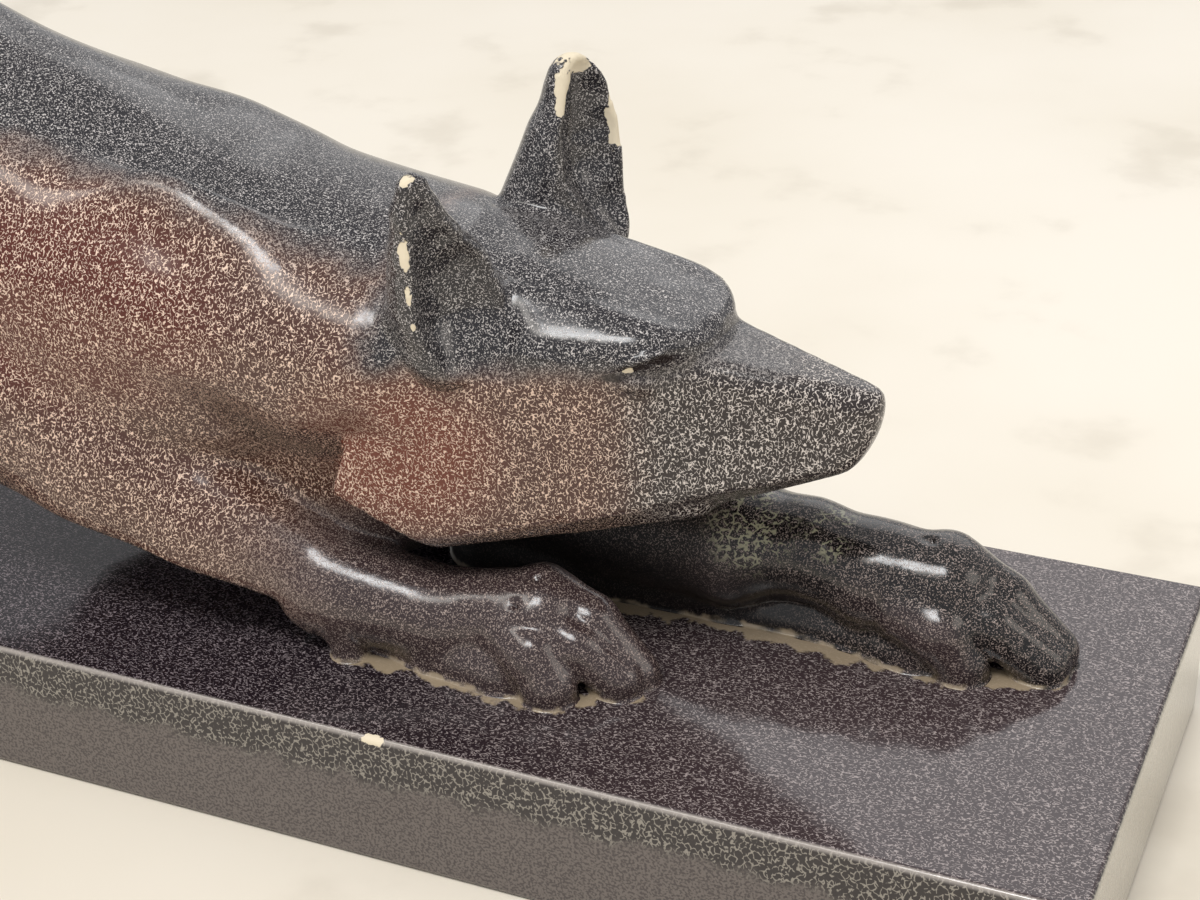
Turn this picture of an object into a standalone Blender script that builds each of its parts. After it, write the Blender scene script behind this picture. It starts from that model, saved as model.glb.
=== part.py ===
"""Crouching fox in glazed earthenware, cast in one piece with its long rectangular plinth."""

import bmesh
import bpy

# Driving dimensions, in metres.
PLINTH_LENGTH = 0.620
PLINTH_WIDTH = 0.143
PLINTH_HEIGHT = 0.040
PLINTH_EDGE_ROUND = 0.0018
PLINTH_SHARP_ANGLE = 0.6
FIGURE_LENGTH = 0.575

# The spacing of the grid that the figure is drawn on, and the share of its faces that are kept.
FORM_GRID = 0.0028
FORM_SHARE_KEPT = 0.12

# The figure is laid out in its own units, of which its length has 575, so each is 1 mm at full size.
# X runs towards the nose, Y to the fox's left and Z up from the top of the plinth.
FIGURE_UNITS = 575
UNIT = FIGURE_LENGTH / FIGURE_UNITS
FIGURE_REACH = ((-300, -75, -7), (300, 75, 225))

tree = None


class Field:
    """A number or a vector that has a value at every point of space: one output of a node."""

    def __init__(self, socket):
        self.socket = socket

    def __add__(self, other):
        return maths("ADD", self, other)

    def __sub__(self, other):
        return maths("SUBTRACT", self, other)

    def __mul__(self, other):
        return maths("MULTIPLY", self, other)

    def __truediv__(self, other):
        return maths("DIVIDE", self, other)


def node(kind, output, values, **settings):
    made = tree.nodes.new(kind)
    for name, value in settings.items():
        setattr(made, name, value)
    for socket, value in zip(made.inputs, values):
        if isinstance(value, Field):
            tree.links.new(value.socket, socket)
        elif value is not None:
            socket.default_value = value
    return Field(made.outputs[output])


def maths(operation, *values):
    return node("ShaderNodeMath", 0, values, operation=operation)


def vector(operation, *values):
    gives_number = operation in ("LENGTH", "DOT_PRODUCT")
    return node("ShaderNodeVectorMath", 1 if gives_number else 0, values, operation=operation)


def scaled(direction, factor):
    return vector("SCALE", direction, None, None, factor)


def joined(first, *others, soft=0.0):
    """The union of forms, with a fillet about as wide as soft."""
    for other in others:
        first = maths("SMOOTH_MIN", first, other, soft)
    return first


def shared(first, *others, soft=0.0):
    """What all the forms have in common, with edges rounded over about soft."""
    for other in others:
        first = maths("SMOOTH_MAX", first, other, soft)
    return first


def cut(form, tool, soft=0.0):
    return maths("SMOOTH_MAX", form, tool * -1.0, soft)


def ball(p, centre, radii, turn=(0.0, 0.0, 0.0)):
    """An ellipsoid, turned about its centre by angles in radians."""
    q = vector("SUBTRACT", p, centre)
    if any(turn):
        q = node("ShaderNodeVectorRotate", 0, (q, None, None, None, turn), rotation_type="EULER_XYZ", invert=True)
    near = vector("LENGTH", vector("DIVIDE", q, radii))
    steep = vector("LENGTH", vector("DIVIDE", q, tuple(r * r for r in radii)))
    return (near - 1.0) * maths("MAXIMUM", near / steep, min(radii))


def limb(p, start, end, stretch=(1.0, 1.0, 1.0)):
    """A tapered rod with round ends. Each end is x, y, z and radius, and stretch thins it along an axis."""
    axis = [(b - a) * s for a, b, s in zip(start, end, stretch)]
    length_squared = sum(a * a for a in axis)
    q = vector("MULTIPLY", vector("SUBTRACT", p, start[:3]), stretch)
    along = vector("DOT_PRODUCT", q, tuple(a / length_squared for a in axis))
    along = node("ShaderNodeClamp", 0, (along, 0.0, 1.0))
    away = vector("LENGTH", vector("SUBTRACT", q, scaled(tuple(axis), along)))
    return away - (along * (end[3] - start[3]) + start[3])


def limbs(p, stations, stretch=(1.0, 1.0, 1.0), soft=4.0):
    """A chain of tapered rods through the stations."""
    return joined(*[limb(p, a, b, stretch) for a, b in zip(stations, stations[1:])], soft=soft)


def plane(p, normal, point):
    """Negative behind a plane that faces along normal and passes through point."""
    size = sum(n * n for n in normal) ** 0.5
    facing = tuple(n / size for n in normal)
    return vector("DOT_PRODUCT", p, facing) - sum(n * x for n, x in zip(facing, point))


def block(p, faces, soft):
    """A convex block, given as the normal of each face and a point on it."""
    return shared(*[plane(p, *face) for face in faces], soft=soft)


def mirrored(p, softness=1.5):
    """Folds the fox's left side onto its right: x, distance from the middle, z."""
    parts = tree.nodes.new("ShaderNodeSeparateXYZ")
    tree.links.new(p.socket, parts.inputs[0])
    x, y, z = (Field(s) for s in parts.outputs)
    away = maths("SQRT", y * y + softness * softness) - softness
    return node("ShaderNodeCombineXYZ", 0, (x, away, z))


def skull(p):
    """Cheeks and jaw behind, forehead and brow above, with the temple swelling in front of the ear."""
    cheeks = block(p, [
        ((0.25, 0.05, 1.0), (165, 0, 95)),
        ((0.48, 0.87, 0.05), (179, 23.5, 70)),
        ((0.20, 0.98, -0.02), (150, 31, 70)),
        ((0.305, 0.776, -0.55), (149, 34, 48)),
        ((0.23, 0.10, -0.97), (145, 26, 36.5)),
        ((-0.94, 0.25, 0.33), (106.5, 36, 57)),
        ((-0.48, 0.20, -0.86), (112, 34, 44)),
        ((1.0, 0.0, 0.15), (193, 0, 80)),
    ], soft=2.5)
    brow = block(p, [
        ((0.28, 0.04, 0.96), (174, 0, 103.2)),
        ((0.02, 0.06, 1.0), (140, 0, 110.5)),
        ((1.0, 0.12, 0.16), (197.4, 0, 94)),
        ((0.25, 0.68, 0.69), (160, 18, 105.5)),
        ((0.20, 0.98, 0.02), (150, 30.6, 90)),
        ((0.62, 0.78, 0.05), (190.6, 19.6, 93)),
        ((0.70, 0.90, -1.0), (183, 21.8, 88.8)),
        ((-1.0, 0.0, 0.2), (118, 0, 90)),
    ], soft=6.5)
    temple = ball(p, (160, 18.4, 95.5), (26, 12.2, 11.4), (0.0, 0.24, -0.14))
    bridge = limb(p, (180, 0, 88, 13.5), (184, 5, 88.5, 10.5))
    crease = limbs(p, [(148, 18.2, 111, 2.4), (160, 18.0, 108.0, 2.8), (172, 17.2, 104.6, 2.6),
                       (186, 15.4, 100.4, 1.8)])
    form = joined(cheeks, brow, soft=4)
    form = joined(form, bridge, temple, soft=3)
    return cut(form, crease, soft=3)


def muzzle(p):
    form = block(p, [
        ((0.178, 0.0, 0.984), (213, 0, 87.0)),
        ((0.26, 0.95, 0.17), (213, 10.3, 78)),
        ((1.0, 0.10, -0.08), (238.3, 0, 76)),
        ((0.85, 0.10, -0.52), (236, 0, 68)),
    ], soft=6)
    under = block(p, [
        ((0.42, 0.20, -0.89), (214, 6, 54)),
        ((0.30, 0.10, -0.95), (192.5, 8, 46)),
        ((-1.0, 0.0, 0.0), (165, 0, 70)),
    ], soft=3)
    form = shared(form, under, soft=3.5)
    return shared(form, plane(p, (0.366, 0.562, -0.742), (211.8, 13.2, 59.0)), soft=1.0)


def head(p):
    p = mirrored(p)
    return joined(skull(p), muzzle(p), soft=4)


def ear(outside, opening, cup):
    """A leaf trimmed to the plane of its opening, then hollowed by a cup."""
    return cut(shared(outside, opening, soft=1.5), cup, soft=1.5)


def near_ear(p):
    outside = limbs(p, [(135.7, -28.5, 94, 13.2), (135.8, -29.1, 105, 15.3), (135.8, -30.3, 112, 14.4),
                        (134.5, -33.7, 120, 11), (134, -37.1, 131, 6.6), (134.6, -38.8, 137, 4.2)], soft=2)
    cup = limbs(p, [(149, -40.5, 97, 8.5), (147.2, -38.2, 105, 10.0), (145.4, -38.0, 112, 8.8),
                    (142.8, -40.0, 120, 5.2)], soft=2)
    return ear(outside, plane(p, (0.76, -0.65, 0.045), (136.4, -40.1, 137)), cup)


def far_ear(p):
    outside = limbs(p, [(142, 34, 98, 15), (142, 36.2, 116, 12.6), (142.3, 36.9, 125, 11.2), (142.0, 37.5, 134, 8.8),
                        (141.6, 37.0, 139, 6.2)], soft=2)
    outside = joined(outside, limb(p, (131, 28, 97, 11), (139.5, 34.5, 121, 10.5)), soft=5)
    cup = limbs(p, [(154, 34, 107, 6.5), (151.2, 32.6, 117, 7.8), (149.6, 34, 125.5, 7.0)], soft=2)
    return ear(outside, plane(p, (0.89, -0.46, 0.175), (145.4, 37.7, 137.5)), cup)


def body(p):
    thin = (1, 1.2, 1)
    trunk = limbs(p, [(45, 0, 78, 43), (0, 0, 91, 49), (-70, 0, 124, 46), (-150, 0, 152, 42)], thin, soft=12)
    neck = limb(p, (45, 0, 76, 45), (116, 0, 70, 41), thin)
    saddle = limbs(p, [(-20, 0, 108, 30), (54, 0, 93, 28), (112, 0, 86, 27)], (1, 0.58, 1), soft=8)
    chest = limb(p, (20, 0, 52, 38), (98, 0, 38, 27))
    return joined(trunk, neck, saddle, chest, soft=10)


def near_shoulder(p):
    """One smooth bulge whose rim, the edge of the shoulder blade, stands up beside the spine."""
    blade = limbs(p, [(-60, -14, 118, 28), (8, -20, 98, 30), (30, -20, 92, 30), (44, -20, 94.5, 30.5),
                      (54, -20, 96.5, 30.5), (68, -20, 92, 29.5), (94, -18, 82, 28.5), (118, -15, 78, 26)], soft=4)
    blade = shared(blade, plane(p, (0, 1, 0.35), (0, -24.5, 120)), soft=2)
    muscle = ball(p, (28, -19, 84), (66, 31, 40), (0, 0.42, 0))
    return joined(blade, muscle, soft=10)


def far_shoulder(p):
    blade = limbs(p, [(-60, 14, 118, 28), (10, 20, 98, 29.5), (29, 20, 95, 29.5), (37, 20, 94, 29.5),
                      (52, 20, 87, 29.5), (75, 18, 80, 28.5), (118, 15, 78, 26)], soft=8)
    muscle = ball(p, (12, 19, 80), (66, 31, 40), (0, 0.42, 0))
    return joined(blade, muscle, soft=10)


def near_foreleg(p):
    upper = limbs(p, [(-20, -27, 80, 34), (5, -30, 61, 31), (32, -32, 44, 26), (62, -33, 28, 20.5),
                      (96, -32, 15.5, 14.5)], (1, 1.2, 1), soft=8)
    upper = shared(upper, plane(p, (-0.207, -0.35, -0.92), (6, -50, 36)), soft=2)
    lower = limbs(p, [(96, -32, 15.5, 14.5), (128, -28, 10, 12.5), (155, -25, 15, 12)], soft=5)
    leg = joined(upper, lower, soft=4)
    knob = limb(p, (102, -37, 11, 8), (105, -40, 1, 4.5))
    foot = limbs(p, [(100, -26, 2, 8), (128, -31, 2, 9.5), (148, -32, 1, 12)], soft=4)
    leg = joined(leg, knob, foot, soft=3)
    toes = joined(
        limbs(p, [(148, -31, 13, 9), (157, -36, 10, 8), (162.5, -38, 3, 8)], soft=3),
        limbs(p, [(154, -30, 15, 8.5), (167, -30.5, 11, 7), (178.5, -29.5, 3, 6.5)], soft=3),
        limbs(p, [(154, -22, 19, 8.5), (168, -23, 14, 7.5), (181.5, -24, 2.5, 5.8)], soft=3),
        limbs(p, [(150, -14, 12, 8), (164, -14.5, 8, 7), (173, -15, 2, 5.5)], soft=3),
        soft=0.8)
    return joined(leg, toes, soft=2.5)


def far_foreleg(p):
    upper = limbs(p, [(0, 27, 78, 32), (25, 30, 60, 29), (60, 31, 40, 25), (110, 27, 20, 20), (155, 24, 15, 18)],
                  (1, 1.2, 1), soft=8)
    lower = limbs(p, [(155, 24, 16, 17.5), (192, 21, 18.5, 17), (213, 19.5, 21.5, 13), (232, 18, 18.5, 14),
                      (250, 19, 18, 14)], soft=6)
    leg = joined(upper, lower, soft=4)
    knob = ball(p, (193, 12, 13), (9, 8, 7))
    foot = limbs(p, [(120, 22, 2, 14), (190, 20, 1, 11), (222, 18, 1, 9), (244, 17, 1, 14)], soft=4)
    leg = joined(leg, knob, foot, soft=3)
    toes = joined(
        limbs(p, [(243, 10, 15, 9), (252, 8, 12, 8.2), (258.5, 8.5, 3, 7.5)], soft=3),
        limbs(p, [(248, 14, 17, 9), (264, 14, 12.5, 7.5), (278, 15.5, 3, 7)], soft=3),
        limbs(p, [(250, 22, 22, 10), (265, 22, 15, 8), (279, 21.5, 3.5, 6.8)], soft=3),
        limbs(p, [(245, 31, 13, 9), (257, 31, 9, 8), (266, 31, 3, 6.5)], soft=3),
        soft=0.8)
    return joined(leg, toes, soft=2.5)


def hind_leg(p, side, x):
    y = side * 34
    thigh = joined(ball(p, (x + 4, side * 24, 140), (44, 22, 50), (0, 0.45, 0)),
                   limb(p, (x + 14, y - side * 2, 126, 23), (x + 28, y, 104, 20)), soft=14)
    shin = limbs(p, [(x + 28, y, 104, 19), (x - 8, y, 80, 14), (x - 38, y, 62, 11), (x - 44, y, 52, 10),
                     (x - 30, y, 16, 9.5), (x - 12, y, 12, 11)], soft=6)
    toes = joined(*[limb(p, (x - 14, y + out, 12, 8.5), (x + 12, y + 1.3 * out, 5, 6.5)) for out in (-9, 0, 9)],
                  soft=1.5)
    return joined(thigh, shin, toes, soft=7)


def tail(p):
    return limbs(p, [(-165, 0, 168, 18), (-200, 0, 150, 15), (-224, 0, 112, 16), (-240, 0, 72, 19), (-254, 0, 38, 17),
                     (-276, 0, 9, 8)], soft=14)


def fox(p):
    trunk = joined(body(p), tail(p), soft=12)
    trunk = joined(trunk, hind_leg(p, -1, -150), hind_leg(p, 1, -174), soft=18)
    trunk = joined(trunk, far_shoulder(p), soft=14)
    trunk = joined(trunk, near_shoulder(p), soft=5)
    trunk = joined(trunk, near_foreleg(p), far_foreleg(p), soft=7)
    faces = joined(head(p), near_ear(p), far_ear(p), soft=2.5)
    return joined(trunk, faces, soft=1.5)


def form_tree():
    """A node tree that fills the space above the plinth with the figure and draws its skin."""
    global tree
    tree = bpy.data.node_groups.new("fox form", "GeometryNodeTree")
    tree.interface.new_socket("Geometry", in_out="OUTPUT", socket_type="NodeSocketGeometry")
    place = node("GeometryNodeInputPosition", 0, ())
    p = scaled(vector("SUBTRACT", place, (0.0, 0.0, PLINTH_HEIGHT)), 1 / UNIT)
    inside = fox(p) * -1.0
    low, high = [tuple(u * UNIT for u in corner) for corner in FIGURE_REACH]
    low, high = [(x, y, z + PLINTH_HEIGHT) for x, y, z in (low, high)]
    cells = [round((b - a) / FORM_GRID) for a, b in zip(low, high)]
    cloud = node("GeometryNodeVolumeCube", 0, (inside, -1.0, low, high, *cells))
    skin = node("GeometryNodeVolumeToMesh", 0, (cloud,))
    skin.socket.node.inputs["Threshold"].default_value = 0.0
    skin = node("GeometryNodeSetShadeSmooth", 0, (skin,))
    out = tree.nodes.new("NodeGroupOutput")
    tree.links.new(skin.socket, out.inputs[0])
    return tree


def glaze():
    material = bpy.data.materials.new("dark_speckled_glaze")
    material.use_nodes = True
    shader = material.node_tree.nodes["Principled BSDF"]
    shader.inputs["Base Color"].default_value = (0.048, 0.036, 0.034, 1.0)
    shader.inputs["Roughness"].default_value = 0.14
    return material


def add(name, mesh):
    made = bpy.data.objects.new(name, mesh)
    bpy.context.scene.collection.objects.link(made)
    return made


def figure():
    """The whole animal, kept as a guide that the plinth is joined to."""
    guide = add("figure_form", bpy.data.meshes.new("figure_form"))
    guide.modifiers.new("skin", "NODES").node_group = form_tree()
    fewer = guide.modifiers.new("fewer_faces", "DECIMATE")
    fewer.ratio = FORM_SHARE_KEPT
    guide.hide_render = True
    guide.display_type = "WIRE"
    return guide


def plinth():
    shape = bmesh.new()
    bmesh.ops.create_cube(shape, size=1.0)
    bmesh.ops.scale(shape, vec=(PLINTH_LENGTH, PLINTH_WIDTH, PLINTH_HEIGHT), verts=shape.verts)
    bmesh.ops.translate(shape, vec=(0.0, 0.0, PLINTH_HEIGHT / 2), verts=shape.verts)
    bmesh.ops.bevel(shape, geom=shape.edges[:], offset=PLINTH_EDGE_ROUND, segments=2, profile=0.5, affect="EDGES")
    mesh = bpy.data.meshes.new("plinth")
    shape.to_mesh(mesh)
    shape.free()
    mesh.shade_smooth()
    mesh.set_sharp_from_angle(angle=PLINTH_SHARP_ANGLE)
    return add("fox_and_plinth", mesh)


def main():
    for old in list(bpy.data.objects):
        bpy.data.objects.remove(old)
    piece = plinth()
    piece.data.materials.append(glaze())
    union = piece.modifiers.new("figure", "BOOLEAN")
    union.operation = "UNION"
    union.solver = "EXACT"
    union.object = figure()


main()
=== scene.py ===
"""Crouching fox in glazed earthenware on its long plinth: the fine form, the glazes and the studio."""

import math

import bmesh
import bpy
from mathutils import Matrix, Vector


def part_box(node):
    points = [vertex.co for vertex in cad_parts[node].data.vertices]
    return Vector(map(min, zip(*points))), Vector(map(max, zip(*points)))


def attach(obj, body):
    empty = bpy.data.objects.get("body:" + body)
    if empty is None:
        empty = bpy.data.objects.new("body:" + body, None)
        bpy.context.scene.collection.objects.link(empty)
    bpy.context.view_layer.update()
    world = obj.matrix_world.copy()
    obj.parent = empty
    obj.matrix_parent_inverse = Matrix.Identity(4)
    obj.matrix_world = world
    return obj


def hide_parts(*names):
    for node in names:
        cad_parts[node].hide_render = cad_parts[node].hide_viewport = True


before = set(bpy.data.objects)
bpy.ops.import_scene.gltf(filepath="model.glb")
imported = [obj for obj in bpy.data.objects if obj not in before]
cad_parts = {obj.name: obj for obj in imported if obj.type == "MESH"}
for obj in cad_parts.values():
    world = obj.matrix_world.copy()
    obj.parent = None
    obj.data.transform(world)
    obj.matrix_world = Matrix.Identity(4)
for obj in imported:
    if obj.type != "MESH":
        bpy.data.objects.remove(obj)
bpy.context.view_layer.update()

MM = 0.001
NODE = "fox_and_plinth"
node_low, node_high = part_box(NODE)
PLINTH_LENGTH = node_high[0] - node_low[0]
PLINTH_WIDTH = node_high[1] - node_low[1]
PLINTH_HEIGHT = 40 * MM
PLINTH_EDGE_ROUND = 1.8 * MM

# The figure is drawn in its own units of 1 mm. X runs towards the nose, Y to the fox's left and Z up from
# the top of the plinth.
REACH_LOW = (-296, -70, -3)
REACH_HIGH = (296, 66, 200)
FORM_CELL = 1.2
FORM_SHARE_KEPT = 0.42

# Glazed earthenware: how strongly the glaze bends light, and the clay where it is bare and where it is worn.
GLAZE_IOR = 1.52
BARE_CLAY = "#e6d9bf"
WORN_CLAY = "#a4937a"

FLOOR_HALF = 4.0
AIR = "#f3f4f6"
AIR_STRENGTH = 0.66
LAMPS_AIM = (0.1, 0.0, 0.08)

# The photograph's camera, found from the edges of the plinth: place in metres, lens in millimetres on a
# sensor 36 mm wide, and how far it looks down, turns and rolls, in degrees.
CAMERA_PLACE = (0.3764, -0.4681, 0.3832)
CAMERA_LENS = 68.32
CAMERA_SENSOR = 36
CAMERA_ANGLES = (29.50, -24.60, -2.27)


class Field:
    """A number or a vector that has a value at every point of space: one output of a node."""

    def __init__(self, tree, socket):
        self.tree = tree
        self.socket = socket
        self.maths = "ShaderNodeMath" if socket.type == "VALUE" else "ShaderNodeVectorMath"

    def __add__(self, other):
        return node(self.tree, self.maths, (self, other), operation="ADD")

    def __sub__(self, other):
        return node(self.tree, self.maths, (self, other), operation="SUBTRACT")

    def __mul__(self, other):
        return node(self.tree, self.maths, (self, other), operation="MULTIPLY")

    def __truediv__(self, other):
        return node(self.tree, self.maths, (self, other), operation="DIVIDE")


def node(tree, kind, values=(), output=0, **settings):
    """Adds a node with its settings. values fills or links its inputs, in order or by name."""
    made = tree.nodes.new(kind)
    for name, value in settings.items():
        setattr(made, name, value)
    pairs = values.items() if isinstance(values, dict) else enumerate(values)
    for name, value in pairs:
        socket = made.inputs[name]
        if isinstance(value, Field):
            tree.links.new(value.socket, socket)
        elif value is not None:
            socket.default_value = value
    return Field(tree, made.outputs[output])


def joined(first, *others, soft=0.0):
    """The union of forms, with a fillet about as wide as soft."""
    for other in others:
        first = node(first.tree, "ShaderNodeMath", (first, other, soft), operation="SMOOTH_MIN")
    return first


def shared(first, *others, soft=0.0):
    """What all the forms have in common, with edges rounded over about soft."""
    for other in others:
        first = node(first.tree, "ShaderNodeMath", (first, other, soft), operation="SMOOTH_MAX")
    return first


def cut(form, tool, soft=0.0):
    """What is left of a form outside the tool."""
    return shared(form, tool * -1.0, soft=soft)


def reach(p, centre, radii):
    """How far p lies out of an ellipsoid: 0 in its middle and 1 on its skin."""
    return node(p.tree, "ShaderNodeVectorMath", ((p - centre) / radii,), 1, operation="LENGTH")


def ball(p, centre, radii, turn=(0.0, 0.0, 0.0)):
    """An ellipsoid, turned about its centre by angles in radians."""
    if any(turn):
        p = node(p.tree, "ShaderNodeVectorRotate", {"Vector": p, "Center": centre, "Rotation": turn},
                 rotation_type="EULER_XYZ", invert=True)
    near = reach(p, centre, radii)
    steep = reach(p, centre, tuple(r * r for r in radii))
    scale = node(p.tree, "ShaderNodeMath", (near / steep, min(radii)), operation="MAXIMUM")
    return (near - 1.0) * scale


def limb(p, start, end, stretch=(1.0, 1.0, 1.0)):
    """A tapered rod with round ends. Each end is x, y, z and radius, and stretch thins it along an axis."""
    axis = [(b - a) * s for a, b, s in zip(start, end, stretch)]
    length_squared = sum(a * a for a in axis)
    q = (p - start[:3]) * stretch
    per_length = tuple(a / length_squared for a in axis)
    share = node(p.tree, "ShaderNodeVectorMath", (q, per_length), 1, operation="DOT_PRODUCT")
    share = node(p.tree, "ShaderNodeClamp", (share, 0.0, 1.0))
    middle = node(p.tree, "ShaderNodeVectorMath", {0: tuple(axis), "Scale": share}, operation="SCALE")
    away = node(p.tree, "ShaderNodeVectorMath", (q - middle,), 1, operation="LENGTH")
    return away - (share * (end[3] - start[3]) + start[3])


def limbs(p, stations, stretch=(1.0, 1.0, 1.0), soft=4.0):
    """A chain of tapered rods through the stations."""
    return joined(*[limb(p, a, b, stretch) for a, b in zip(stations, stations[1:])], soft=soft)


def plane(p, normal, point):
    """Negative behind a plane that faces along normal and passes through point."""
    size = sum(n * n for n in normal) ** 0.5
    facing = tuple(n / size for n in normal)
    height = node(p.tree, "ShaderNodeVectorMath", (p, facing), 1, operation="DOT_PRODUCT")
    return height - sum(n * x for n, x in zip(facing, point))


def block(p, faces, soft):
    """A convex block, given as the normal of each face and a point on it."""
    return shared(*[plane(p, *face) for face in faces], soft=soft)


def parts(p):
    """The x, y and z of a vector."""
    return [node(p.tree, "ShaderNodeSeparateXYZ", (p,), axis) for axis in range(3)]


def mirrored(p, softness=1.5):
    """Folds the fox's right side onto its left: x, distance from the middle, z."""
    x, y, z = parts(p)
    away = node(p.tree, "ShaderNodeMath", (y * y + softness * softness,), operation="SQRT") - softness
    return node(p.tree, "ShaderNodeCombineXYZ", (x, away, z))


def skull(p):
    """Cheeks and jaw behind, forehead and brow above, and the lid of the closed eye over its slit."""
    cheeks = block(p, [
        ((0.25, 0.05, 1.0), (165, 0, 95)),
        ((0.48, 0.87, 0.05), (179, 23.5, 70)),
        ((0.20, 0.98, -0.02), (150, 31, 70)),
        ((0.305, 0.776, -0.55), (149, 34, 48)),
        ((0.23, 0.10, -0.97), (145, 26, 36.5)),
        ((-0.94, 0.25, 0.33), (106.5, 36, 57)),
        ((-0.48, 0.20, -0.86), (112, 34, 44)),
        ((1.0, 0.0, 0.15), (193, 0, 80)),
    ], soft=2.5)
    under_lid = ((0.47, 0.35, -1.0), (183.2, 23.8, 92.6))
    side = ((0.20, 0.98, 0.02), (150, 30.6, 90))
    corner = ((0.62, 0.78, 0.05), (189.8, 19.6, 93))
    forehead = block(p, [
        ((0.28, 0.04, 0.96), (174, 0, 103.2)),
        ((0.02, 0.06, 1.0), (140, 0, 110.5)),
        ((1.0, 0.16, 0.16), (197.2, 0, 94)),
        ((0.10, 0.60, 0.79), (175, 18, 102.0)),
        ((-1.0, 0.0, 0.2), (118, 0, 90)),
        ((0.70, 0.90, -1.0), (183, 22.4, 90.6)),
        side, corner,
    ], soft=6.5)
    temple = block(p, [
        ((0.18, 0.616, 0.767), (151, 18, 106.9)),
        ((0.10, -0.60, 0.80), (151, 18, 107.2)),
        ((0.66, 0.50, 0.56), (184, 20.5, 97.5)),
        ((-1.0, 0.0, -0.4), (131, 0, 106)),
        side, corner, under_lid,
    ], soft=4.5)
    bridge = limb(p, (180, 0, 88, 13.5), (184, 5, 88.5, 10.5))
    pouch = ball(p, (180, 20.6, 86.6), (7, 3.4, 2.3), (0.0, 0.3, -0.4))
    slit = limbs(p, [(175, 26.0, 88.4, 0.6), (183, 24.0, 91.2, 1.5), (187, 21.8, 92.6, 1.5),
                     (190.2, 19.4, 93.2, 0.7)], soft=1)
    lid = limbs(p, [(175.5, 25.2, 91.0, 0.7), (183.2, 23.1, 93.4, 1.1), (186.6, 21.6, 94.4, 1.0),
                    (189.2, 19.6, 94.8, 0.5)], soft=1)
    form = joined(cheeks, forehead, soft=2)
    form = joined(form, bridge, pouch, soft=3)
    form = joined(form, temple, soft=3)
    form = cut(form, slit, soft=0.8)
    return joined(form, lid, soft=1)


def muzzle(p):
    """A long square snout, cut off under the lip, with its nostrils in front."""
    form = block(p, [
        ((0.178, 0.0, 0.984), (213, 0, 87.0)),
        ((0.26, 0.95, 0.17), (213, 10.3, 78)),
        ((1.0, 0.10, -0.08), (238.3, 0, 76)),
        ((0.85, 0.10, -0.52), (236, 0, 68)),
    ], soft=6)
    under = block(p, [
        ((0.42, 0.20, -0.89), (214, 6, 54)),
        ((0.30, 0.10, -0.95), (192.5, 8, 46)),
        ((-1.0, 0.0, 0.0), (165, 0, 70)),
    ], soft=3)
    form = shared(form, under, soft=3.5)
    form = shared(form, plane(p, (0.366, 0.562, -0.742), (211.8, 13.2, 59.0)), soft=1.0)
    nostril = ball(p, (236.6, 6.2, 76.5), (1.6, 1.8, 1.3))
    return cut(form, nostril, soft=1.5)


def head(p):
    """Skull and muzzle, the same on both sides."""
    p = mirrored(p)
    return joined(skull(p), muzzle(p), soft=4)


def ears(p, head):
    """Both ears on the head. Each is a leaf trimmed to the plane of its opening and hollowed by a cup,
    and the same cup leaves a soft dish where it runs out into the temple."""
    near = limbs(p, [(135.7, -28.5, 94, 13.2), (135.6, -28.9, 104, 14.4), (135.4, -30.6, 111, 12.8),
                     (134.4, -33.9, 119.5, 9.6), (134, -37.1, 130, 6.3), (134.6, -38.9, 137, 4.0)], soft=1.5)
    near_cup = limbs(p, [(149, -40.5, 95, 10.8), (147.5, -38.2, 104, 12.6), (145.4, -38.0, 112, 11.4),
                         (142.3, -39.7, 120, 7.8), (138.6, -40.9, 131, 3.5), (137.2, -41.4, 136, 1.4)],
                     soft=2)
    far = limbs(p, [(142, 34, 98, 14.6), (142, 36.2, 116, 12.0), (142.3, 36.9, 125, 10.7),
                    (142.0, 37.5, 134, 8.4), (141.6, 36.6, 139, 6.0)], soft=4)
    far = joined(far, limb(p, (131, 28, 97, 11), (139.5, 34.5, 121, 10.5)), soft=5)
    far_cup = limbs(p, [(157, 36, 97, 5), (154, 34, 106, 8), (151.2, 32.6, 117, 10), (149.6, 34, 125.5, 9.5),
                        (148, 35.6, 133, 7.4), (146.2, 36.6, 139.5, 4.6)], soft=2)
    near = shared(near, plane(p, (0.76, -0.65, 0.045), (136.4, -40.1, 137)), soft=1)
    far = shared(far, plane(p, (0.89, -0.46, 0.175), (145.4, 37.7, 137.5)), soft=1)
    head = cut(head, near_cup, soft=6)
    head = cut(head, far_cup, soft=5)
    return joined(head, cut(near, near_cup, soft=0.8), cut(far, far_cup, soft=0.8), soft=2)


def body(p):
    """Trunk and neck, with the saddle between the shoulders filled and the chest hung below."""
    thin = (1, 1.2, 1)
    trunk = limbs(p, [(45, 0, 78, 43), (0, 0, 91, 49), (-70, 0, 124, 46), (-150, 0, 152, 42)], thin, soft=12)
    neck = limb(p, (45, 0, 76, 45), (116, 0, 70, 41), thin)
    saddle = limbs(p, [(-20, 0, 108, 30), (54, 0, 93, 28), (112, 0, 86, 27)], (1, 0.58, 1), soft=8)
    chest = limb(p, (20, 0, 52, 38), (98, 0, 38, 27))
    return joined(trunk, neck, saddle, chest, soft=10)


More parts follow.
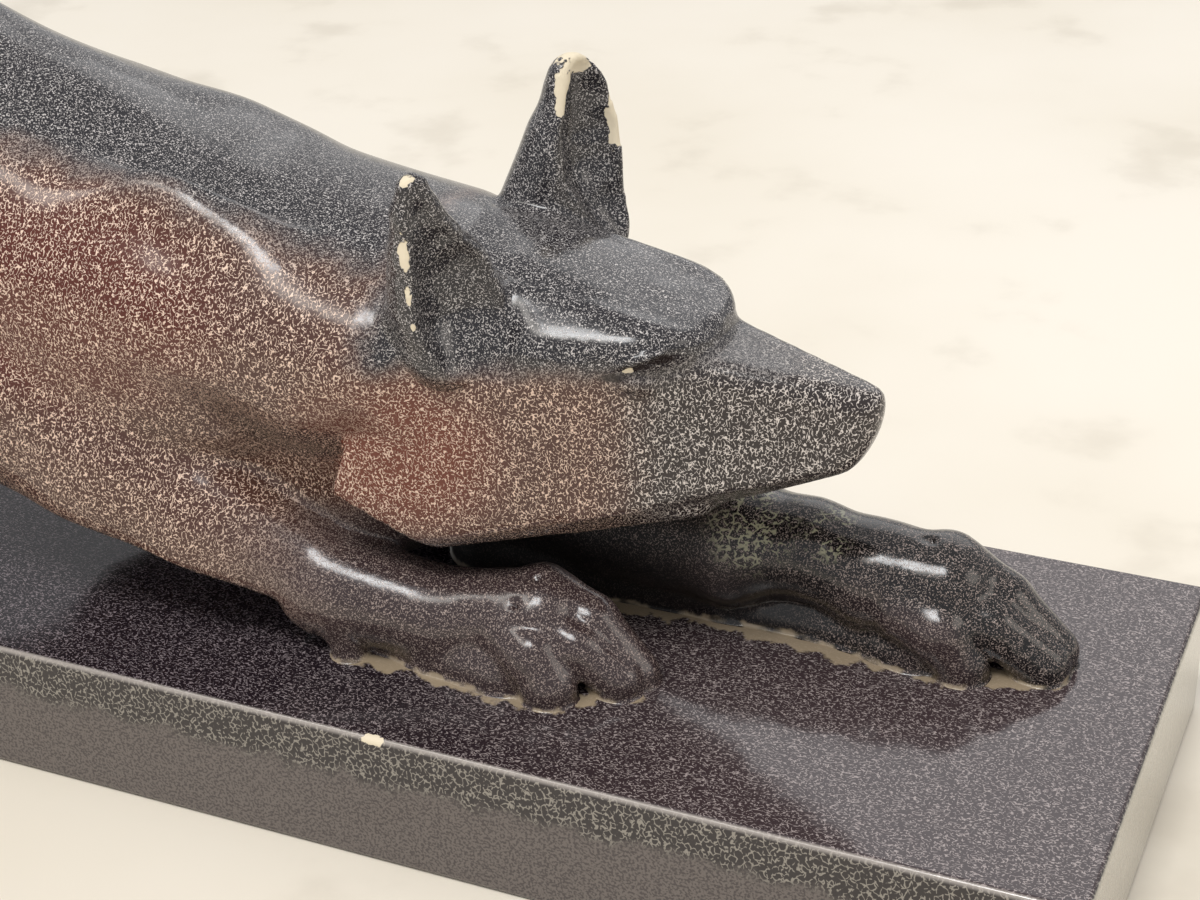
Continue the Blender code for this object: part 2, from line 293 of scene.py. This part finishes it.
def near_flank(p):
    """The shoulder, one smooth bulge whose rim stands up beside the spine."""
    blade = limbs(p, [(-60, -14, 118, 28), (8, -20, 98, 30), (30, -20, 92, 30), (44, -20, 94.5, 30.5),
                      (54, -20, 96.5, 30.5), (68, -20, 92, 29.5), (94, -18, 82, 28.5), (118, -15, 78, 26)],
                  soft=4)
    blade = shared(blade, plane(p, (0, 1, 0.35), (0, -24.5, 120)), soft=2)
    blade = shared(blade, plane(p, (0.089, -0.905, 0.426), (54, -31, 127.5)), soft=6)
    muscle = ball(p, (28, -19, 84), (66, 31, 40), (0, 0.42, 0))
    return joined(blade, muscle, soft=10)


def far_flank(p):
    """The other shoulder, lower and plainer."""
    blade = limbs(p, [(-60, 14, 118, 28), (10, 20, 98, 29.5), (29, 20, 95, 29.5), (37, 20, 94, 29.5),
                      (52, 20, 87, 29.5), (75, 18, 80, 28.5), (118, 15, 78, 26)], soft=8)
    muscle = ball(p, (12, 19, 80), (66, 31, 40), (0, 0.42, 0))
    return joined(blade, muscle, soft=10)


def near_foreleg(p):
    """The right foreleg, bent at the wrist, with four toes parted by grooves."""
    upper = limbs(p, [(-20, -27, 80, 34), (5, -30, 61, 31), (32, -32, 44, 26), (62, -33, 28, 20.5),
                      (96, -32, 15.5, 14.5)], (1, 1.2, 1), soft=8)
    upper = shared(upper, plane(p, (-0.207, -0.35, -0.92), (6, -50, 36)), soft=2)
    lower = limbs(p, [(96, -32, 15.5, 14.5), (128, -28, 10, 12.5), (155, -25, 15, 12)], soft=5)
    leg = joined(upper, lower, soft=4)
    knob = limb(p, (102, -37, 11, 8), (105, -40, 1, 4.5))
    foot = limbs(p, [(100, -26, 2, 8), (128, -31, 2, 9.5), (148, -32, 1, 12)], soft=4)
    leg = joined(leg, knob, foot, soft=3)
    toes = joined(
        limbs(p, [(148, -31, 13, 9), (157, -36, 10, 8), (162.5, -38, 3, 8)], soft=3),
        limbs(p, [(154, -30, 15, 8.5), (167, -30.5, 11, 7), (178.5, -29.5, 3, 6.5)], soft=3),
        limbs(p, [(154, -22, 19, 8.5), (168, -23, 14, 7.5), (181.5, -24, 2.5, 5.8)], soft=3),
        limbs(p, [(150, -14, 12, 8), (164, -14.5, 8, 7), (173, -15, 2, 5.5)], soft=3),
        soft=0.8)
    grooves = joined(limb(p, (152, -33.4, 22, 0.6), (170, -35.0, 1, 1.8)),
                     limb(p, (153, -26.2, 28, 0.6), (180, -27.2, 2, 1.8)),
                     limb(p, (150, -18.2, 26, 0.6), (176, -19.2, 1, 1.8)))
    return cut(joined(leg, toes, soft=2.5), grooves, soft=2.5)


def far_foreleg(p):
    """The left foreleg, stretched further forward."""
    upper = limbs(p, [(0, 27, 78, 32), (25, 30, 60, 29), (60, 31, 40, 25), (110, 27, 20, 20),
                      (155, 24, 15, 18)], (1, 1.2, 1), soft=8)
    lower = limbs(p, [(155, 24, 16, 17.5), (192, 21, 18.5, 17), (213, 19.5, 21.5, 13), (232, 18, 18.5, 14),
                      (250, 19, 18, 14)], soft=6)
    leg = joined(upper, lower, soft=4)
    knob = ball(p, (193, 12, 13), (9, 8, 7))
    foot = limbs(p, [(120, 22, 2, 14), (190, 20, 1, 11), (222, 18, 1, 9), (244, 17, 1, 14)], soft=4)
    leg = joined(leg, knob, foot, soft=3)
    toes = joined(
        limbs(p, [(243, 10, 15, 9), (252, 8, 12, 8.2), (258.5, 8.5, 3, 7.5)], soft=3),
        limbs(p, [(248, 14, 17, 9), (264, 14, 12.5, 7.5), (278, 15.5, 3, 7)], soft=3),
        limbs(p, [(250, 22, 22, 10), (265, 22, 15, 8), (279, 21.5, 3.5, 6.8)], soft=3),
        limbs(p, [(245, 31, 13, 9), (257, 31, 9, 8), (266, 31, 3, 6.5)], soft=3),
        soft=0.8)
    grooves = joined(limb(p, (244, 11.0, 27, 0.6), (268, 11.2, 1, 1.9)),
                     limb(p, (244, 18.2, 33, 0.6), (280, 18.4, 2, 1.9)),
                     limb(p, (243, 27, 30, 0.6), (268, 27, 1, 1.5)))
    return cut(joined(leg, toes, soft=2.5), grooves, soft=2.5)


def hind_leg(p, side, x):
    """A standing hind leg about x, on the side of the fox's left for 1 and of its right for -1."""
    y = side * 34
    thigh = joined(ball(p, (x + 4, side * 24, 140), (44, 22, 50), (0, 0.45, 0)),
                   limb(p, (x + 14, y - side * 2, 126, 23), (x + 28, y, 104, 20)), soft=14)
    shin = limbs(p, [(x + 28, y, 104, 19), (x - 8, y, 80, 14), (x - 38, y, 62, 11), (x - 44, y, 52, 10),
                     (x - 30, y, 16, 9.5), (x - 12, y, 12, 11)], soft=6)
    toes = [limb(p, (x - 14, y + out, 12, 8.5), (x + 12, y + 1.3 * out, 5, 6.5)) for out in (-9, 0, 9)]
    toes = joined(*toes, soft=1.5)
    return joined(thigh, shin, toes, soft=7)


def tail(p):
    """A full tail that hangs to the plinth."""
    return limbs(p, [(-165, 0, 168, 18), (-200, 0, 150, 15), (-224, 0, 112, 16), (-240, 0, 72, 19),
                     (-254, 0, 38, 17), (-276, 0, 9, 8)], soft=14)


def fox(p):
    """The whole animal, which flows out into a thin ledge where it meets the plinth."""
    trunk = joined(body(p), tail(p), soft=12)
    trunk = joined(trunk, hind_leg(p, -1, -150), hind_leg(p, 1, -174), soft=18)
    trunk = joined(trunk, far_flank(p), soft=14)
    trunk = joined(trunk, near_flank(p), soft=5)
    trunk = joined(trunk, near_foreleg(p), far_foreleg(p), soft=7)
    whole = joined(trunk, ears(p, head(p)), soft=1.5)
    ledge = plane(p, (0, 0, 1), (0, 0, -0.4))
    return joined(whole, ledge, soft=2.2)


def form_tree():
    """A tree that draws the skin of the figure, with the sizes and the glaze as its named inputs."""
    tree = bpy.data.node_groups.new("fox form", "GeometryNodeTree")
    tree.interface.new_socket("Geometry", in_out="OUTPUT", socket_type="NodeSocketGeometry")
    for name, kind in [("Unit", "Float"), ("Plinth height", "Float"), ("Lowest corner", "Vector"),
                       ("Highest corner", "Vector"), ("Cells along X", "Int"), ("Cells along Y", "Int"),
                       ("Cells along Z", "Int"), ("Glaze", "Material")]:
        tree.interface.new_socket(name, in_out="INPUT", socket_type="NodeSocket" + kind)
    given = [node(tree, "NodeGroupInput", output=i) for i in range(8)]
    unit, height, low, high, cells_x, cells_y, cells_z, glaze = given
    lift = node(tree, "ShaderNodeCombineXYZ", (0.0, 0.0, height))
    place = node(tree, "GeometryNodeInputPosition") - lift
    one = node(tree, "ShaderNodeMath", (1.0, unit), operation="DIVIDE")
    p = node(tree, "ShaderNodeVectorMath", {0: place, "Scale": one}, operation="SCALE")
    low = node(tree, "ShaderNodeVectorMath", {0: low, "Scale": unit}, operation="SCALE") + lift
    high = node(tree, "ShaderNodeVectorMath", {0: high, "Scale": unit}, operation="SCALE") + lift
    cloud = node(tree, "GeometryNodeVolumeCube", (fox(p) * -1.0, -1.0, low, high, cells_x, cells_y, cells_z))
    skin = node(tree, "GeometryNodeVolumeToMesh", {"Volume": cloud, "Threshold": 0.0})
    skin = node(tree, "GeometryNodeSetShadeSmooth", (skin,))
    skin = node(tree, "GeometryNodeRealizeInstances", (skin,))
    skin = node(tree, "GeometryNodeSetMaterial", {"Geometry": skin, "Material": glaze})
    out = tree.nodes.new("NodeGroupOutput")
    tree.links.new(skin.socket, out.inputs[0])
    return tree


def add(name, mesh):
    made = bpy.data.objects.new(name, mesh)
    bpy.context.scene.collection.objects.link(made)
    return made


def finished(guide, name):
    """The evaluated shape of a guide as a plain mesh object; the guide is taken away."""
    graph = bpy.context.evaluated_depsgraph_get()
    mesh = bpy.data.meshes.new_from_object(guide.evaluated_get(graph))
    mesh.name = name
    bpy.data.objects.remove(guide)
    return add(name, mesh)


def figure(glaze):
    """The animal's skin, drawn fine and then thinned to a share of its faces."""
    guide = add("figure_guide", bpy.data.meshes.new("figure_guide"))
    skin = guide.modifiers.new("skin", "NODES")
    skin.node_group = form_tree()
    values = {
        "Unit": MM,
        "Plinth height": PLINTH_HEIGHT,
        "Lowest corner": REACH_LOW,
        "Highest corner": REACH_HIGH,
        "Glaze": glaze,
    }
    for axis, low, high in zip("XYZ", REACH_LOW, REACH_HIGH):
        values["Cells along " + axis] = round((high - low) / FORM_CELL)
    for item in skin.node_group.interface.items_tree:
        if item.in_out == "INPUT":
            skin[item.identifier] = values[item.name]
    fewer = guide.modifiers.new("fewer_faces", "DECIMATE")
    fewer.ratio = FORM_SHARE_KEPT
    return finished(guide, "figure")


def plinth(glaze):
    """The slab, with its edges rounded."""
    shape = bmesh.new()
    bmesh.ops.create_cube(shape, size=1.0)
    bmesh.ops.scale(shape, vec=(PLINTH_LENGTH, PLINTH_WIDTH, PLINTH_HEIGHT), verts=shape.verts)
    bmesh.ops.translate(shape, vec=(0.0, 0.0, PLINTH_HEIGHT / 2), verts=shape.verts)
    bmesh.ops.bevel(shape, geom=shape.edges[:], offset=PLINTH_EDGE_ROUND, segments=4, profile=0.5,
                    affect="EDGES")
    mesh = bpy.data.meshes.new("plinth")
    shape.to_mesh(mesh)
    shape.free()
    mesh.materials.append(glaze)
    return add("plinth", mesh)


def fox_on_plinth(animal_glaze, plinth_glaze):
    """The figure and its plinth in one skin, with the flat faces of the plinth kept flat."""
    base = plinth(plinth_glaze)
    animal = figure(animal_glaze)
    union = base.modifiers.new("figure", "BOOLEAN")
    union.operation = "UNION"
    union.solver = "EXACT"
    union.material_mode = "TRANSFER"
    union.object = animal
    whole = finished(base, "fox_on_plinth")
    bpy.data.objects.remove(animal)
    mesh = whole.data
    mesh.shade_smooth()
    shape = bmesh.new()
    shape.from_mesh(mesh)
    for edge in shape.edges:
        faces = edge.link_faces
        if len(faces) == 2 and faces[0].material_index != faces[1].material_index:
            edge.smooth = False
    shape.to_mesh(mesh)
    shape.free()
    smooth = whole.modifiers.new("flat_faces_first", "WEIGHTED_NORMAL")
    smooth.keep_sharp = True
    return whole


def linear(code, alpha=1.0):
    """The colour of an sRGB hex code, as Blender's shaders take it."""
    values = [int(code[i:i + 2], 16) / 255 for i in (1, 3, 5)]
    values = [v / 12.92 if v <= 0.04045 else ((v + 0.055) / 1.055) ** 2.4 for v in values]
    return (*values, alpha)


def new_material(name):
    """A material with its place on the object in millimetres, measured from the top of the plinth."""
    material = bpy.data.materials.new(name)
    material.use_nodes = True
    tree = material.node_tree
    tree.nodes.clear()
    place = node(tree, "ShaderNodeTexCoord", output=3)
    p = node(tree, "ShaderNodeVectorMath", {0: place, "Scale": 1 / MM}, operation="SCALE")
    return material, tree, p - (0.0, 0.0, PLINTH_HEIGHT / MM)


def finish_material(tree, colour, roughness, bump, depth, **settings):
    """Ends a material with its shader. depth is how far the bump stands up, in millimetres."""
    skin = node(tree, "ShaderNodeBump", {"Height": bump, "Distance": depth * MM, "Strength": 1.0})
    shader = {"Base Color": colour, "Roughness": roughness, "Normal": skin}
    shader.update(settings)
    surface = node(tree, "ShaderNodeBsdfPrincipled", shader)
    out = tree.nodes.new("ShaderNodeOutputMaterial")
    tree.links.new(surface.socket, out.inputs["Surface"])


def rise(value, low, high):
    """0 below low, 1 above high, and smooth between them."""
    return node(value.tree, "ShaderNodeMapRange", {"Value": value, "From Min": low, "From Max": high},
                interpolation_type="SMOOTHSTEP")


def cloudy(p, size, detail=2.0):
    """Soft cloudy variation from 0 to 1, with lumps about size across."""
    return node(p.tree, "ShaderNodeTexNoise", {"Vector": p, "Scale": 1 / size, "Detail": detail})


def layered(colour, *layers):
    """Lays colours over one another, each by its share at a point."""
    for over, share in layers:
        colour = node(share.tree, "ShaderNodeMix", {0: share, 6: colour, 7: over}, 2, data_type="RGBA")
    return colour


def patch(p, centre, radii, soft=0.35):
    """1 inside an ellipsoid and 0 outside it, with a soft border."""
    return rise(reach(p, centre, radii) * -1.0, -1.0 - soft, -1.0 + soft)


def broken(p, line, size, sparse, border):
    """Breaks a line up into short pieces. The higher sparse is, the less of it is left."""
    return line * rise(cloudy(p - (31.0, 17.0, 5.0), size, 0.0), sparse, sparse + border)


def strokes(p, pitch, width, sparse, squeeze=(1.0, 0.75, 0.75)):
    """Short wandering strokes where the glaze drew together: two sets of contour lines, broken up."""
    marks = []
    for start in ((0.0, 0.0, 0.0), (50.0, 9.0, 3.0)):
        q = (p - start) * squeeze
        height = cloudy(q, pitch, 0.0) - 0.5
        away = node(p.tree, "ShaderNodeMath", (height,), operation="ABSOLUTE")
        line = rise(away * -1.0, -width, -0.4 * width)
        marks.append(broken(q, line, 0.7 * pitch, sparse, 0.06))
    return shared(*marks)


def net(p, pitch, width, sparse, squeeze=(1.0, 1.0, 1.0)):
    """A net of pale lines round dark cells a pitch apart, with gaps. Its cells are made uneven by a drift."""
    q = p * squeeze
    drift = node(p.tree, "ShaderNodeTexNoise", {"Vector": q, "Scale": 0.9 / pitch, "Detail": 1.0}, 1)
    q = q + (drift - (0.5, 0.5, 0.5)) * (pitch, pitch, pitch)
    edge = node(p.tree, "ShaderNodeTexVoronoi", {"Vector": q, "Scale": 1 / pitch}, feature="DISTANCE_TO_EDGE")
    line = rise(edge * -pitch, -width, -0.35 * width)
    return broken(q, line, 0.6 * pitch, sparse, 0.05)


def chipped(p, marks, lumps, roughly):
    """1 where the glaze has gone from the clay: ellipsoids, each a centre and radii, with a ragged border."""
    ragged = (cloudy(p, lumps, 2.0) - 0.5) * roughly
    return shared(*[rise((reach(p, *mark) + ragged) * -1.0, -1.05, -0.95) for mark in marks])


def animal_glaze():
    """Glazed earthenware: a dark iron glaze, thin and red over the flank and cheek, that broke into pale
    short strokes in the firing. It gives sharp bright highlights over a busy speckle."""
    material, tree, p = new_material("speckled_iron_glaze")
    x, y, z = parts(p)
    up = parts(node(tree, "ShaderNodeNewGeometry", output=1))[2]
    mottle = cloudy(p, 14.0, 3.0) - 0.5
    fine = cloudy(p, 4.0, 2.0) - 0.5

    # Where the glaze lies thick and dark: back, top of the head, snout and forelegs. All that faces down is
    # darkened as painted shade.
    ridge = node(tree, "ShaderNodeVectorMath", (p, (0.129, 0.75, 0.62)), 1, operation="DOT_PRODUCT")
    back = rise(ridge + mottle * 14.0, 53, 67) * rise(z, 55, 85) * rise(x * -1.0, -126, -112)
    crown = rise(x + fine * 6.0, 112, 124) * rise(z + mottle * 10.0, 84, 93)
    top = shared(back, crown)
    snout = rise(x + fine * 6.0, 170, 190) * rise(z, 40, 48)
    leg = rise(x + mottle * 20.0, 60, 112) * rise(z * -1.0, -42, -34)
    far_leg = rise(y, 0, 6) * rise(z * -1.0, -44, -36) * rise(x, 40, 90)
    # Painted shade: darker glaze on every surface that faces down.
    under = rise(up * -1.0, 0.25, 0.6)

    # Where it lies thin and red, the slit of the eye, which holds dark glaze and is darkened further as
    # painted shade under the lid, and where dust dulls it.
    flank_red = patch(p, (36, -46, 95), (42, 30, 28), 0.35)
    cheek_red = patch(p, (122, -36, 64), (25, 20, 21), 0.5)
    # The slit of the eye: dark glaze, and painted shade under the overhanging lid.
    eye = shared(patch(p, (178, -25.2, 88.6), (3.6, 3, 1.1), 0.4),
                 patch(p, (183.4, -23.6, 91.0), (3.8, 3, 1.2), 0.4),
                 patch(p, (188.4, -20.6, 92.8), (3.6, 4, 1.6), 0.4))
    dusty = patch(p, (130, 2, 22), (70, 22, 28), 0.3)
    ground = layered(linear("#4c3028"), (linear("#54251a"), flank_red), (linear("#68301f"), cheek_red),
                     (linear("#2c2524"), snout), (linear("#35292a"), leg), (linear("#120f10"), far_leg),
                     (linear("#232125"), top), (linear("#1c1517"), under * 0.8))

    # Strokes on the thin glaze, small dots on the thick, and a crackled crust on the left foreleg.
    bright = layered(linear("#e4c8b4"), (linear("#d2c8c0"), snout), (linear("#c4bebb"), top),
                     (linear("#c8b4aa"), leg))
    thick = shared(top, leg, far_leg, under)
    dense = strokes(p, 0.9, 0.052, 0.46) * (thick * -1.0 + 1.0)
    bare = far_leg * rise(z * -1.0, -26, -14) * rise(x * -1.0, -228, -208)
    dots = strokes(p - (5.0, 60.0, 20.0), 0.72, 0.06, 0.52, (1.0, 1.0, 1.0))
    dots = dots * thick * (leg * -0.45 + 1.0) * (bare * -0.8 + 1.0)
    marks = shared(dense, dots) * (eye * -0.85 + 1.0)
    crusts = shared(patch(p, (200, 14, 29), (12, 14, 11), 0.3), patch(p, (221, 14, 31), (6, 12, 5), 0.3))
    crackle = net(p, 2.2, 0.30, 0.40) * crusts * rise(cloudy(p, 6.0, 1.0), 0.42, 0.50)
    colour = layered(ground, (linear("#1d1412"), eye), (bright, marks), (linear("#9b987f"), crackle))

    # The line where the glaze ran thin along the plinth, and the chips at the ears and the eye.
    worn = rise(z * -1.0 + fine * 4.0, -1.4, -0.2) * rise(cloudy(p, 9.0, 1.0), 0.44, 0.56)
    near_ear = [((134.5, -42.5, 141), (3, 3, 2.2)), ((133.2, -43.6, 121.5), (1.4, 2.0, 4.6)),
                ((133.4, -44.2, 111), (1.2, 1.8, 2.8)), ((134.4, -44.2, 103), (0.9, 1.4, 1.4))]
    far_ear = [((141, 39, 143), (4.5, 6, 4)), ((142, 31, 137), (2.6, 3.6, 7)),
               ((150.5, 44, 126), (2.6, 2.6, 8))]
    lid = ((181, -23.5, 90.5), (1.4, 2, 1.0))
    chips = chipped(p, [*near_ear, *far_ear, lid], 2.5, 1.6)
    colour = layered(colour, (linear(WORN_CLAY), worn * 0.8), (linear(BARE_CLAY), chips))

    # Bare clay is the roughest, then dust and the strokes. The strokes stand up a little and chips lie low.
    rough = chips * 0.6 + marks * 0.10 + dusty * 0.4 + 0.17
    height = cloudy(p, 7.0, 2.0) + marks * 0.25 - chips * 3.0
    finish_material(tree, colour, rough, height, 0.12, IOR=GLAZE_IOR)
    return material


def plinth_glaze():
    """The same iron glaze laid thicker on a flat slab: near black, with fine dashes on top and a net of
    pale cracks along the upper border of the sides. It mirrors the light in broad clear patches."""
    material, tree, p = new_material("crackled_iron_glaze")
    x, y, z = parts(p)
    ahead, _, up = parts(node(tree, "ShaderNodeNewGeometry", output=1))
    level = rise(up, 0.6, 0.95)

    # The sides: grainy brown, with a dark crackled border above. The end face is painted pale as a painted
    # reflection of the bright floor.
    border = rise(z + (cloudy(p, 9.0, 3.0) - 0.5) * 14.0, -16, -11)
    crackle = net(p, 1.5, 0.17, 0.42, (1.0, 1.0, 0.8))
    grain = cloudy(p, 0.7, 1.0)
    side = layered(linear("#6c6460"), (linear("#474040"), rise(grain, 0.42, 0.62)),
                   (linear("#2f2a2b"), border), (linear("#938d84"), crackle * border),
                   (linear("#c9c3b4"), rise(ahead, 0.7, 0.95) * 0.6))

    # The top: dashes on near black, the dashes paler towards the front end, and the black painted lighter
    # there as a painted reflection of the bright wall.
    dashes = strokes(p, 0.95, 0.055, 0.50, (0.7, 1.0, 1.0)) * (rise(x, 60, 170) * -0.35 + 1.0)
    dash = layered(linear("#857a7e"), (linear("#b8aba8"), rise(x, 60, 200)))
    # Painted reflection: the near black top lightened towards the front end.
    top = layered(linear("#1f181d"), (linear("#3a2f31"), rise(x, 100, 230)), (dash, dashes))

    # The glaze is worn along both forelegs, and one chip is gone from the edge. The upper edges of the long
    # sides are painted paler as a painted highlight.
    beside_near = limbs(p, [(104, -42, 0, 3), (110, -40, 0, 4), (128, -40, 0, 4), (143, -42, 0, 4),
                            (157, -44, 0, 2.5), (168, -43, 0, 2), (174, -34, 0, 3), (184, -31, 0, 2.5)],
                        soft=0.5)
    beside_far = limbs(p, [(130, 5, 0, 4.5), (158, 6, 0, 4.5), (185, 10, 0, 4.5), (212, 8, 0, 5),
                           (228, 4, 0, 3), (242, 6, 0, 3), (256, 2, 0, 2), (268, 9, 0, 4), (282, 11, 0, 2)],
                       soft=0.5)
    contacts = joined(beside_near, beside_far)
    worn = rise(contacts * -1.0 + (cloudy(p, 5.0, 3.0) - 0.5) * 12.0, -0.2, 1.4)
    out = node(tree, "ShaderNodeMath", (y,), operation="ABSOLUTE")
    # Painted highlight along the upper edges of the long sides.
    edge = rise(z, -1.6, -0.5) * rise(out, 70.0, 70.8)
    chip = chipped(p, [((128.5, -71.5, -0.5), (3.2, 2.0, 1.6))], 1.6, 1.0)
    colour = layered(side, (top, level), (linear(WORN_CLAY), worn * level * 0.85),
                     (linear("#b5aca4"), edge * 0.7), (linear(BARE_CLAY), chip))
    height = cloudy(p, 9.0, 2.0) + grain * (level * -1.0 + 1.0) * 0.2
    finish_material(tree, colour, chip * 0.6 + 0.12, height, 0.08, IOR=GLAZE_IOR)
    return material


def floor_material():
    """Sealed pale concrete: smooth cream with faint clouds and scuffs, a light ground for soft shadows."""
    material, tree, p = new_material("sealed_pale_concrete")
    clouds = cloudy(p, 240.0, 4.0)
    scuffs = rise(cloudy(p, 60.0, 6.0), 0.56, 0.72)
    colour = layered(linear("#f1e9db"), (linear("#e8dfce"), rise(clouds, 0.35, 0.75)),
                     (linear("#c9bfae"), scuffs * 0.35))
    finish_material(tree, colour, rise(clouds, 0.2, 0.8) * 0.2 + 0.45, clouds, 0.2)
    return material


def stage_floor():
    floor = bmesh.new()
    bmesh.ops.create_grid(floor, x_segments=1, y_segments=1, size=FLOOR_HALF)
    mesh = bpy.data.meshes.new("floor")
    floor.to_mesh(mesh)
    floor.free()
    mesh.materials.append(floor_material())
    ground = add("floor", mesh)


def studio():
    """Even daylight, a strip and a softbox overhead for the highlights, and two bright walls to mirror."""
    world = bpy.data.worlds.new("studio_air")
    world.use_nodes = True
    bpy.context.scene.world = world
    bpy.context.scene.view_settings.view_transform = "Standard"
    air = world.node_tree.nodes["Background"]
    air.inputs["Color"].default_value = linear(AIR)
    air.inputs["Strength"].default_value = AIR_STRENGTH
    lamps = [("strip", (-0.5, -0.9, 1.9), (1.4, 0.35), 10, "#fffaf2"),
             ("softbox", (0.2, -0.9, 2.05), (0.7, 0.5), 20, "#ffffff"),
             ("back_wall", (0.1, 2.4, 1.5), (1.9, 1.6), 10, "#ffffff"),
             ("side_wall", (2.4, 0.2, 1.3), (1.2, 1.0), 8, "#fff6ea")]
    aim = Vector(LAMPS_AIM)
    for name, place, size, watts, colour in lamps:
        light = bpy.data.lights.new(name, "AREA")
        light.shape = "RECTANGLE"
        light.size, light.size_y = size
        light.energy = watts
        light.color = linear(colour)[:3]
        lamp = add(name, light)
        lamp.visible_camera = False
        lamp.location = place
        lamp.rotation_euler = (aim - Vector(place)).to_track_quat("-Z", "Y").to_euler()


def photograph_camera():
    down, turn, roll = [math.radians(angle) for angle in CAMERA_ANGLES]
    ahead = Vector((math.sin(turn) * math.cos(down), math.cos(turn) * math.cos(down), -math.sin(down)))
    level = ahead.cross(Vector((0, 0, 1))).normalized()
    above = level.cross(ahead)
    right = math.cos(roll) * level + math.sin(roll) * above
    up = right.cross(ahead)
    data = bpy.data.cameras.new("camera")
    data.sensor_width = CAMERA_SENSOR
    data.lens = CAMERA_LENS
    data.clip_start = 0.01
    camera = add("camera", data)
    camera.matrix_world = Matrix((right, up, -ahead)).transposed().to_4x4()
    camera.location = CAMERA_PLACE
    bpy.context.scene.camera = camera


photograph_camera()
stage_floor()
studio()
sculpture = fox_on_plinth(animal_glaze(), plinth_glaze())
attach(sculpture, "root")
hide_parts(NODE)
